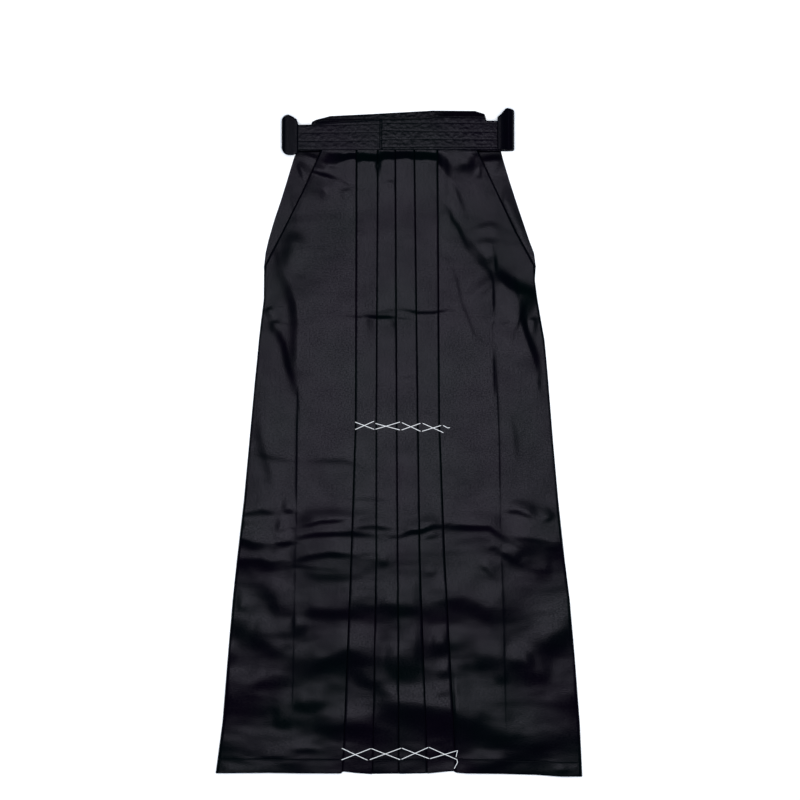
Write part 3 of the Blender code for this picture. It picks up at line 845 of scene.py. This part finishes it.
for half in HALVES:
    x, down, z = back_path(half).grid()
    relief = sum(ridge(x, down, *crease) for crease in BACK_CREASES)
    z = z + relief * (1 - smooth((down - OPENING_LENGTH + 8) / 8))
    y = hem_y(x, down)
    name = f"cloth_back_{half}"
    cloth = cloth_object(name, x, y, z, down, satin)
    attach(cloth, "root")
    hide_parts(f"back_{half}")

# %% [markdown]
# ## The waistbands
# A hakama band is a strip of the same cloth folded over a stiffening, and stitched through in
# rows. Each strap is one with its band. Here a band is a swept cross-section that turns over at
# its ends: the front band's ends turn down and back, and the back band's ends wrap round them.

# %% Band tables
BACK_BAND_WALL = 2.0
BACK_BAND_Z = BACK_BAND_WALL / 2
STRAP_END_Z = BAND_TOP + LAYER_GAP + BACK_BAND_WALL / 2
FRONT_BAND = (
    # x, layer, lower edge and upper edge above the band's lower edge, rise off the layer
    (-152, "floor", 2, 34, 0),
    (-162, "floor", 1, 36, 0),
    (-162, "top", 0, 37, 0),
    (-130, "top", 0, 37.5, 0),
    (-105, "top", 0, 39.8, 0),
    (-62, "top", 0, 43.6, 0),
    (-28, "top", 0, 45.4, 0),
    (47, "top", 0, 47.4, 0),
    (51, "top", 0, 49.6, 0),
    (124, "top", 0, 48.4, 0),
    (127, "top", 0, 43.4, 0),
    (144, "top", 0.4, 43, 0),
    (158, "top", 0.4, 42, 0),
    (158, "floor", 1, 38, 0),
    (148, "floor", 2, 36, 0),
)
BACK_BAND = (
    (-148, "top", -4, 40, 0),
    (-150, "top", -5.5, 45, 0.8),
    (-155, "top", -7.5, 48.5, 0.5),
    (-162, "top", -7.5, 52, 0),
    (-162, "floor", 14, 36, 0),
    (-153, "floor", 0, 39, 0),
    (-130, "floor", 0, 36, 0),
    (-128, "floor", 0, 43.5, 0),
    (-122, "floor", 0, 46.5, 0),
    (-101, "floor", 0, 52, 0),
    (-40, "floor", 0, 55, 0),
    (50, "floor", 0, 60, 0),
    (112, "floor", 0, 59.5, 0),
    (126, "floor", 0, 55, 0),
    (129, "floor", 0, 44, 0),
    (132, "floor", 0, 38, 0),
    (150, "floor", 0, 42, 0),
    (159, "floor", 0, 56, 0),
    (159, "top", 0, 61.5, 0),
    (156, "top", 0, 60.5, 1.6),
    (153, "top", 0, 57, 3.2),
    (149, "top", 0, 52, 4.2),
    (144, "top", 0, 48, 4.6),
)
TURN_STEPS = 18
# The left end is pressed flat, so its turn is squarer than the half circle of the right one
TURN_POWER = {"left": 0.5, "right": 1.0}
BAND_STEP = 1.2


def strap_line(stations, top_z, floor_z):
    """A band's table as close stations of (x, z, lower edge, upper edge)."""
    heights = {"top": top_z, "floor": floor_z}
    middle, radius = (top_z + floor_z) / 2, (top_z - floor_z) / 2
    line = []
    for (x, layer, low, high, rise), after in zip(stations, stations[1:] + (None,)):
        z = heights[layer] + rise
        line.append((x, z, low, high))
        if after is None:
            break
        if after[1] == layer:
            count = max(1, round(abs(after[0] - x) / BAND_STEP))
            there = (after[0], heights[layer] + after[4], after[2], after[3])
            for k in range(1, count):
                line.append([mix(a, b, k / count) for a, b in zip((x, z, low, high), there)])
            continue
        outward = math.copysign(1, x)
        power = TURN_POWER["left" if x < 0 else "right"]
        start = 1 if layer == "top" else -1
        for k in range(1, TURN_STEPS):
            share = k / TURN_STEPS
            angle = start * math.pi / 2 * (1 - 2 * share)
            line.append(
                (
                    x + outward * radius * math.cos(angle) ** power,
                    middle + math.copysign(radius * abs(math.sin(angle)) ** power, angle),
                    mix(low, after[2], share),
                    mix(high, after[3], share),
                )
            )
    return np.array(line)


# %% [markdown]
# The cross-section is a flat lozenge with rounded edges. On the outer face it dips at each row
# of stitches, and between the rows the cloth swells a little and puckers along the thread.

# %% Band builder
STITCH_ROWS = {
    # Four rows along the band, each with its height above the band's lower edge
    "x": (-147, -62, -27, -24, 50, 145),
    "first": (1.6, 2.2, 2.4, 4.6, 5.4, 5.0),
    "second": (13.6, 13.8, 14.4, 15.8, 16.6, 15.6),
    "third": (25.6, 26.2, 26.6, 29.6, 27.6, 27.2),
    "fourth": (36.0, 37.8, 38.6, 40.2, 40.4, 39.6),
}
ACROSS_COLUMNS = 62
PUCKER = 0.29
# Depth and half width of the dip at a row of stitches, and of the notch at the pieced seam
STITCH_DIP = (0.24, 0.9)
NOTCH = (1.1, 0.9)
BAND_SEAM_X = -26.5
# Height of the upper edge's lean, and the heights on the band where it starts and turns down
LEAN = 2.2
LEAN_START, LEAN_TOP = 47.5, 50.5


def puckers(along, y, pattern):
    """Small dents of quilted cloth, as thread pulls it down over the stiffening."""
    x = along[:, None] + 0 * y
    return PUCKER * (waves(x, y, 5.0, 4.0, pattern) + 0.4 * waves(x, y, 2.2, 2.4, pattern))


def edge_lean(x, y, high):
    """At its right, the upper edge of the back band leans away from the lamp."""
    along = smooth((x - 50) / 18) * smooth((134 - x) / 8)
    down_again = np.clip((y - LEAN_TOP) / (high - LEAN_TOP + 0.1), 0, 1)
    return LEAN * along * smooth((y - LEAN_START) / 3) * (1 - down_again)


def band_object(name, line, wall, finish, quilted=None, dented=1.0):
    x, z, low, high = line.T
    step = np.gradient(np.stack([x, z]), axis=1)
    length = np.hypot(*step)
    normal = np.stack([-step[1], step[0]]) / length
    along = np.concatenate([[0], np.cumsum(np.hypot(np.diff(x), np.diff(z)))])
    across = np.linspace(0, 1, ACROSS_COLUMNS)
    y = mix(low[:, None], high[:, None], across[None, :])
    edge = np.minimum(y - low[:, None], high[:, None] - y)
    half_wall = wall / 2 * np.sqrt(np.clip(1 - (1 - np.clip(edge / (0.9 * wall), 0, 1)) ** 2, 0.06, 1))
    relief = np.zeros(y.shape)
    for row in list(quilted or {})[1:]:
        row_y = read(quilted, row, x, key="x")[:, None]
        relief -= STITCH_DIP[0] * np.exp(-(((y - row_y) / STITCH_DIP[1]) ** 2))
    relief += dented * puckers(along, y, wall)
    if quilted:
        # The band is pieced from two lengths, and their seam shows as a notch
        beyond = x[:, None] - BAND_SEAM_X
        relief *= mix(0.7, 1.0, smooth(beyond / 3))
        relief -= NOTCH[0] * np.exp(-((beyond / NOTCH[1]) ** 2))
    else:
        relief += edge_lean(x[:, None], y, np.maximum(high[:, None], LEAN_TOP + 0.5))
    sides = []
    for sign, bumps in ((1, relief), (-1, 0 * relief)):
        offset = sign * half_wall + bumps
        sides.append((x[:, None] + normal[0][:, None] * offset, z[:, None] + normal[1][:, None] * offset))
    ring_x = np.concatenate([sides[0][0], sides[1][0][:, ::-1]], axis=1)
    ring_z = np.concatenate([sides[0][1], sides[1][1][:, ::-1]], axis=1)
    ring_y = BAND_EDGE_Y + np.concatenate([y, y[:, ::-1]], axis=1)
    count, around = ring_x.shape
    points = np.stack([ring_x, ring_y, ring_z], axis=-1).reshape(-1, 3)
    corner = np.arange(count * around).reshape(count, around)
    turned = np.roll(corner, -1, axis=1)
    faces = np.stack([corner[:-1], turned[:-1], turned[1:], corner[1:]], axis=-1).reshape(-1, 4).tolist()
    for ring in (corner[0], corner[-1]):
        for k in range(ACROSS_COLUMNS - 1):
            quad = [int(i) for i in (ring[k], ring[k + 1], ring[around - 2 - k], ring[around - 1 - k])]
            faces.append(quad if ring is corner[-1] else quad[::-1])
    uv = np.stack([np.repeat(along[:, None], around, axis=1), ring_y], axis=-1).reshape(-1, 2)
    return outward_faces(mesh_object(name, points, faces, uv, finish))


def outward_faces(made):
    """Turns a closed mesh's faces outwards by the sign of its volume."""
    mesh = made.data
    volume = 0.0
    for face in mesh.polygons:
        corners = [mesh.vertices[i].co for i in face.vertices]
        for a, b in zip(corners[1:], corners[2:]):
            volume += corners[0].dot(a.cross(b))
    if volume < 0:
        mesh.flip_normals()
    return made


# %% Bands
band_satin = woven_satin("quilted_band_satin_black", ("#040208", "#020506"), 0.32, 0.031, 0.2)
strap_satin = woven_satin("strap_satin_black", ("#030106", "#010405"), 0.32, 0.028, 0.2)
front_line = strap_line(FRONT_BAND, BAND_MIDDLE, BACK_BAND_WALL + LAYER_GAP + BAND_WALL / 2)
front_band = band_object("front_waistband", front_line, BAND_WALL, band_satin, STITCH_ROWS)
back_line = strap_line(BACK_BAND, STRAP_END_Z, BACK_BAND_Z)
back_band = band_object("back_waistband", back_line, BACK_BAND_WALL, strap_satin, dented=1.3)


for band, node, slot, line in (
    (front_band, "front_band", "band", front_line),
    (back_band, "back_band", "strap", back_line),
):
    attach(band, "root")
    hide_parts(node)

# %% [markdown]
# ## The folded straps
# Between the bands lies a stack of folded strap. Only its layered upper edge shows, so it is one
# rounded body with a groove between the layers.

# %% Folded straps
STRAP_LAYERS = (
    # left end, right end, upper edge
    (-124, 124, BAND_EDGE_Y + 46),
    (-126, 122, BAND_EDGE_Y + 44.5),
    (-121, 126, BAND_EDGE_Y + 47.5),
    (-125, 125, BAND_EDGE_Y + 45),
    (-122, 123, BAND_EDGE_Y + 43.5),
)
LAYER_PROFILE = (
    # share of the way up one layer, and how far the layer is drawn in there
    (0.0, 1.0),
    (0.12, 0.35),
    (0.3, 0.05),
    (0.55, 0.0),
    (0.8, 0.15),
    (0.94, 0.6),
)
FOLDS_LOW_Y = BAND_EDGE_Y + 0.6
STRAP_CORNER = 9
SIDE_POINTS, CORNER_POINTS = 26, 8
folds_box = [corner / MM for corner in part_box("strap_folds")]


def rounded_plan(x0, x1, y1, inset, z):
    """A ring round one layer at one height, drawn in by the inset."""
    x0, x1, y0, y1 = x0 + inset, x1 - inset, FOLDS_LOW_Y + inset, y1 - inset
    corner = STRAP_CORNER - inset
    ring = []
    corners = (
        (x1 - corner, y1 - corner, 0),
        (x0 + corner, y1 - corner, 90),
        (x0 + corner, y0 + corner, 180),
        (x1 - corner, y0 + corner, 270),
    )
    for k, (cx, cy, start) in enumerate(corners):
        for j in range(CORNER_POINTS + 1):
            angle = math.radians(start + 90 * j / CORNER_POINTS)
            ring.append((cx + corner * math.cos(angle), cy + corner * math.sin(angle), z))
        after_x, after_y, after_start = corners[(k + 1) % 4]
        angle = math.radians(after_start)
        target = (after_x + corner * math.cos(angle), after_y + corner * math.sin(angle))
        here = ring[-1]
        for j in range(1, SIDE_POINTS):
            ring.append((*[mix(a, b, j / SIDE_POINTS) for a, b in zip(here, target)], z))
    return ring


def folded_straps(name, finish):
    low_z, high_z = folds_box[0].z, folds_box[1].z
    height = (high_z - low_z) / len(STRAP_LAYERS)
    rings = []
    for k, (x0, x1, y1) in enumerate(STRAP_LAYERS):
        for share, inset in LAYER_PROFILE:
            rings.append(rounded_plan(x0, x1, y1, inset, low_z + (k + share) * height))
    rings.append(rounded_plan(x0, x1, y1, 1, high_z))
    around = len(rings[0])
    points = np.array(rings).reshape(-1, 3)
    faces = []
    for r in range(len(rings) - 1):
        for k in range(around):
            a, b = r * around + k, r * around + (k + 1) % around
            faces.append((a, b, b + around, a + around))
    faces.append(tuple(range(around))[::-1])
    faces.append(tuple(range((len(rings) - 1) * around, len(rings) * around)))
    uv = np.column_stack([points[:, 0], points[:, 1] + points[:, 2]])
    made = mesh_object(name, points, faces, uv, finish)
    made.data.set_sharp_from_angle(angle=math.radians(60))
    return outward_faces(made)


straps = folded_straps("folded_straps", strap_satin)
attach(straps, "root")
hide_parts("strap_folds")

# %% [markdown]
# ## Sewing by Geometry Nodes
# Stitches repeat along a line, and a basting thread follows one, so node trees make both. The
# lines are drawn as bare edges that lie on the cloth. One tree sweeps a round thread along them.
# The other sets a small bead at even steps and stretches it along the line, as a stitch. Each
# result is turned into a plain mesh, and the modifier is taken away again.

# %% Sewing trees
def sewing_tree(name, sizes):
    """A node tree with lines, named sizes and a finish as inputs."""
    tree = bpy.data.node_groups.new(name, "GeometryNodeTree")
    tree.interface.new_socket("Lines", in_out="INPUT", socket_type="NodeSocketGeometry")
    for size in sizes:
        tree.interface.new_socket(size, in_out="INPUT", socket_type="NodeSocketFloat")
    tree.interface.new_socket("Finish", in_out="INPUT", socket_type="NodeSocketMaterial")
    tree.interface.new_socket("Sewn", in_out="OUTPUT", socket_type="NodeSocketGeometry")
    given = add_node(tree, "NodeGroupInput").outputs
    lines = add_node(tree, "GeometryNodeMeshToCurve", {"Mesh": given["Lines"]})
    return tree, given, lines.outputs["Curve"]


def close_tree(tree, given, geometry):
    """Ends a tree in real, smooth geometry with its finish."""
    for kind, more in (
        ("GeometryNodeRealizeInstances", {}),
        ("GeometryNodeSetShadeSmooth", {}),
        ("GeometryNodeSetMaterial", {"Material": given["Finish"]}),
    ):
        geometry = add_node(tree, kind, {"Geometry": geometry, **more}).outputs["Geometry"]
    add_node(tree, "NodeGroupOutput", {"Sewn": geometry})
    return tree


def thread_tree():
    tree, given, curve = sewing_tree("thread along lines", ["Thickness"])
    radius = add_node(tree, "ShaderNodeMath", {0: given["Thickness"], 1: 0.5}, operation="MULTIPLY")
    circle = {"Radius": radius.outputs["Value"], "Resolution": 8}
    profile = add_node(tree, "GeometryNodeCurvePrimitiveCircle", circle)
    sweep = {"Curve": curve, "Profile Curve": profile.outputs["Curve"], "Fill Caps": True}
    swept = add_node(tree, "GeometryNodeCurveToMesh", sweep)
    return close_tree(tree, given, swept.outputs["Mesh"])


def stitch_tree():
    tree, given, curve = sewing_tree("stitches along lines", ["Spacing", "Length", "Thickness"])
    steps = {"Curve": curve, "Length": given["Spacing"]}
    places = add_node(tree, "GeometryNodeCurveToPoints", steps, mode="LENGTH").outputs
    along = {"Vector": places["Tangent"]}
    turned = add_node(tree, "FunctionNodeAlignRotationToVector", along, axis="Z")
    bead = add_node(tree, "GeometryNodeMeshUVSphere", {"Segments": 6, "Rings": 5, "Radius": 0.5})
    sizes = {"X": given["Thickness"], "Y": given["Thickness"], "Z": given["Length"]}
    bead_at_each = {
        "Points": places["Points"],
        "Instance": bead.outputs["Mesh"],
        "Rotation": turned.outputs["Rotation"],
        "Scale": add_node(tree, "ShaderNodeCombineXYZ", sizes).outputs["Vector"],
    }
    stitches = add_node(tree, "GeometryNodeInstanceOnPoints", bead_at_each)
    return close_tree(tree, given, stitches.outputs["Instances"])


threads_along, stitches_along = thread_tree(), stitch_tree()
print("node trees:", threads_along.name, "and", stitches_along.name)

# %% [markdown]
# A ray cast straight down finds the height of the cloth under a point of a line, pleats and
# creases included, so that each thread lies on what it sews. `sewn` feeds the lines to a tree.

# %% Sewing helpers
def cloth_under(pieces):
    depsgraph = bpy.context.evaluated_depsgraph_get()
    return [BVHTree.FromObject(piece, depsgraph) for piece in pieces]


def height_on(under, x, y):
    drop = Vector((0, 0, -1))
    hits = [tree.ray_cast(Vector((x * MM, y * MM, 0.1)), drop)[0] for tree in under]
    return max(hit.z for hit in hits if hit is not None) / MM


def sewn(name, lines, tree, finish, sizes):
    """Runs a tree on lines of points in millimetres, and returns the plain mesh object."""
    points, edges = [], []
    for line in lines:
        edges += [(len(points) + k, len(points) + k + 1) for k in range(len(line) - 1)]
        points += [tuple(value * MM for value in point) for point in line]
    drawn = bpy.data.meshes.new(name + "_lines")
    drawn.from_pydata(points, edges, [])
    made = added(name, drawn)
    modifier = made.modifiers.new("sewing", "NODES")
    modifier.node_group = tree
    inputs = {
        socket.name: socket.identifier
        for socket in tree.interface.items_tree
        if socket.item_type == "SOCKET" and socket.in_out == "INPUT"
    }
    for size, value in sizes.items():
        modifier[inputs[size]] = value * MM
    modifier[inputs["Finish"]] = finish
    made.update_tag()
    evaluated = made.evaluated_get(bpy.context.evaluated_depsgraph_get())
    mesh = bpy.data.meshes.new_from_object(evaluated)
    made.modifiers.remove(modifier)
    made.data = mesh
    mesh.name = name
    print(name, "faces", len(mesh.polygons))
    return made


# %% [markdown]
# ## Basting threads
# New hakama are sold with their pleats tacked down: white cotton runs from fold to fold in long
# crossed stitches, and the wearer pulls it out before the first use. Each run lies taut between
# two folds and dives into the cloth at its ends. The last ones leave short tails.

# %% Basting threads
BASTING = (
    # each run as points of (x, down)
    ((-65.0, 398.2), (-35.6, 409.5)),
    ((-64.5, 409.5), (-36.2, 397.0)),
    ((-35.1, 400.3), (2.2, 410.3)),
    ((-35.1, 409.2), (2.2, 398.2)),
    ((3.8, 399.0), (32.2, 412.3)),
    ((3.2, 410.3), (32.2, 400.0)),
    ((34.3, 400.0), (61.7, 412.3), (65.3, 414.1)),
    ((33.2, 412.2), (62.6, 403.2)),
    ((64.1, 402.9), (71.4, 407.0), (74.7, 406.6)),
    ((-84.5, 877.4), (-45.7, 895.9)),
    ((-85.1, 895.1), (-41.0, 878.3)),
    ((-41.0, 878.3), (2.4, 895.1)),
    ((-43.7, 895.1), (3.7, 877.7)),
    ((3.7, 877.7), (45.1, 893.5)),
    ((3.1, 894.6), (43.8, 876.4)),
    ((43.8, 876.4), (85.3, 894.5), (86.0, 898.5), (81.3, 907.7)),
    ((45.1, 893.5), (86.0, 881.1), (83.9, 890.4)),
)
BASTING_THICKNESS = 1.0
PLY_SPACING = 0.0008
RUN_STEP = 2.0
END_TUCK = 1.4


def thread_finish(name, light, painted_groove_shade, roughness):
    """Spun thread: matt, with painted shade in the grooves where its plies turn under."""
    finish, tree, shader = new_material(name)
    place = add_node(tree, "ShaderNodeTexCoord").outputs["Object"]
    twist = {"Vector": place, "Scale": 0.5 / PLY_SPACING / math.pi, "Distortion": 1.5}
    plies_and_painted_groove_shade = add_node(tree, "ShaderNodeTexWave", twist, bands_direction="DIAGONAL").outputs["Fac"]
    surface = {
        # The second colour is painted shade in the grooves between the plies
        "Base Color": mixed(tree, plies_and_painted_groove_shade, painted_groove_shade, light),
        "Roughness": roughness,
        "Normal": bumps(tree, plies_and_painted_groove_shade, 0.4, 0.0002),
        "Specular IOR Level": 0.2,
    }
    feed(tree, shader, surface)
    return finish


def taut_run(corners, over, under):
    """Points of a thread that lies on the cloth between the corners, with its ends tucked in."""
    flat = []
    for (x0, d0), (x1, d1) in zip(corners, corners[1:]):
        count = max(2, round(math.dist((x0, d0), (x1, d1)) / RUN_STEP))
        flat += [(mix(x0, x1, k / count), mix(d0, d1, k / count)) for k in range(count)]
    flat.append(corners[-1])
    x, down = np.array(flat).T
    y = BAND_EDGE_Y - down
    z = np.array([height_on(under, *spot) for spot in zip(x, y)])
    share = np.linspace(0, 1, len(x))
    z = np.maximum(z, mix(z[0], z[-1], share)) + 0.4 * BASTING_THICKNESS
    z += over * 0.9 * BASTING_THICKNESS * np.sin(math.pi * share)
    z[0] -= END_TUCK
    if len(corners) == 2:
        z[-1] -= END_TUCK
    return list(zip(x, y, z))


front_pieces = cloth_under(fronts)
# The second colour is the painted shade in the ply grooves
cotton = thread_finish("cotton_basting_thread_white", "#fbfbf8", "#d9d8d2", 0.85)
runs = [taut_run(corners, k % 2, front_pieces) for k, corners in enumerate(BASTING)]
basting = sewn("basting_threads", runs, threads_along, cotton, {"Thickness": BASTING_THICKNESS})
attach(basting, "root")

# %% [markdown]
# ## Black stitches
# The band is quilted with four rows of machine stitches, with two short columns where the strap
# behind it is caught. The hem is turned up twice and stitched through. Black thread on black
# cloth shows as a row of small glints, so each stitch is a real bead of thread, 2.4 mm long.

# %% Stitches
STITCH = {"Spacing": 3.0, "Length": 2.4, "Thickness": 0.55}
BAND_COLUMNS = (
    # x, and the heights above the band's lower edge between which the column runs
    (50.0, 5.0, 46.0),
    (91.7, 6.0, 45.0),
)
HEM_STITCH_DOWN = 890.5
STITCH_LIFT = 0.1
# The second colour is the painted shade in the ply grooves
filament = thread_finish("polyester_sewing_thread_black", "#0c0c0f", "#020203", 0.5)


def laid_line(x, y, under):
    return [(a, b, height_on(under, a, b) + STITCH_LIFT) for a, b in zip(x, y)]


band_piece = cloth_under([front_band])
band_lines = []
x = np.arange(-146.0, 144.1, 2.0)
for row in list(STITCH_ROWS)[1:]:
    y = BAND_EDGE_Y + read(STITCH_ROWS, row, x, key="x")
    band_lines.append(laid_line(x, y, band_piece))
for column_x, low, high in BAND_COLUMNS:
    y = BAND_EDGE_Y + np.arange(low, high, 2.0)
    band_lines.append(laid_line(column_x + 0 * y, y, band_piece))
band_stitches = sewn("band_stitches", band_lines, stitches_along, filament, STITCH)

hem_lines = []
for start, end in ((-266.0, -12.0), (-10.0, 266.0)):
    x = np.arange(start, end, 2.0)
    hem_lines.append(laid_line(x, hem_y(x, HEM_STITCH_DOWN), front_pieces))
hem_stitches = sewn("hem_stitches", hem_lines, stitches_along, filament, STITCH)

for stitches, slot in ((band_stitches, "band"), (hem_stitches, "cloth")):
    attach(stitches, "root")

# %% [markdown]
# ## Floor, light and camera
# The garment lies on a plain white surface. One broad lamp hangs above it, a little towards the
# waist, as a softbox on a boom does in a product studio. Its mirror image is what lights satin:
# level cloth returns it to the camera, and sloped cloth does not.

# %% Stage
FLOOR_SIZE = 24.0
FLOOR_Z = -0.0002
SOFTBOX = {"size": (1.52, 1.2), "place": (0.02, 0.145, 2.9), "power": 106.0}
ROOM_LIGHT = ("#8fb8f2", 0.32)

paper, tree, shader = new_material("white_paper")
white = mixed(tree, cloud(tree, 900.0, 2.0), "#f8f8f7", "#fdfdfc")
feed(tree, shader, {"Base Color": white, "Roughness": 0.9, "Specular IOR Level": 0.1})

floor_mesh = bpy.data.meshes.new("floor")
half_size = FLOOR_SIZE / 2
corners = [(a * half_size, b * half_size, 0) for a, b in ((-1, -1), (1, -1), (1, 1), (-1, 1))]
floor_mesh.from_pydata(corners, [], [(0, 1, 2, 3)])
floor_mesh.materials.append(paper)
floor = added("floor", floor_mesh)
floor.location.z = FLOOR_Z

softbox_light = bpy.data.lights.new("softbox", "AREA")
softbox_light.shape = "RECTANGLE"
softbox_light.size, softbox_light.size_y = SOFTBOX["size"]
softbox_light.energy = SOFTBOX["power"]
softbox = added("softbox", softbox_light)
softbox.location = SOFTBOX["place"]

world = bpy.data.worlds.new("studio")
world.use_nodes = True
background = world.node_tree.nodes["Background"]
feed(world.node_tree, background, {"Color": linear(ROOM_LIGHT[0]), "Strength": ROOM_LIGHT[1]})
bpy.context.scene.world = world
bpy.context.scene.view_settings.view_transform = "Standard"

# %% [markdown]
# The photograph was taken from straight above. It is 1.176 m wide where the garment lies, and
# its middle is 63 mm above the garment's middle. A long lens keeps the edges from spreading.

# %% Camera
PICTURE_WIDTH = 1.176
CAMERA_HEIGHT = 3.4
CAMERA_PLACE = (0.0015, 0.063, CAMERA_HEIGHT)
CLOTH_HEIGHT = 0.006
SENSOR = 36.0
camera_data = bpy.data.cameras.new("camera")
camera_data.sensor_width = SENSOR
camera_data.lens = SENSOR * (CAMERA_HEIGHT - CLOTH_HEIGHT) / PICTURE_WIDTH
camera = added("camera", camera_data)
camera.location = CAMERA_PLACE
bpy.context.scene.camera = camera
print("lens", round(camera_data.lens, 1), "mm")
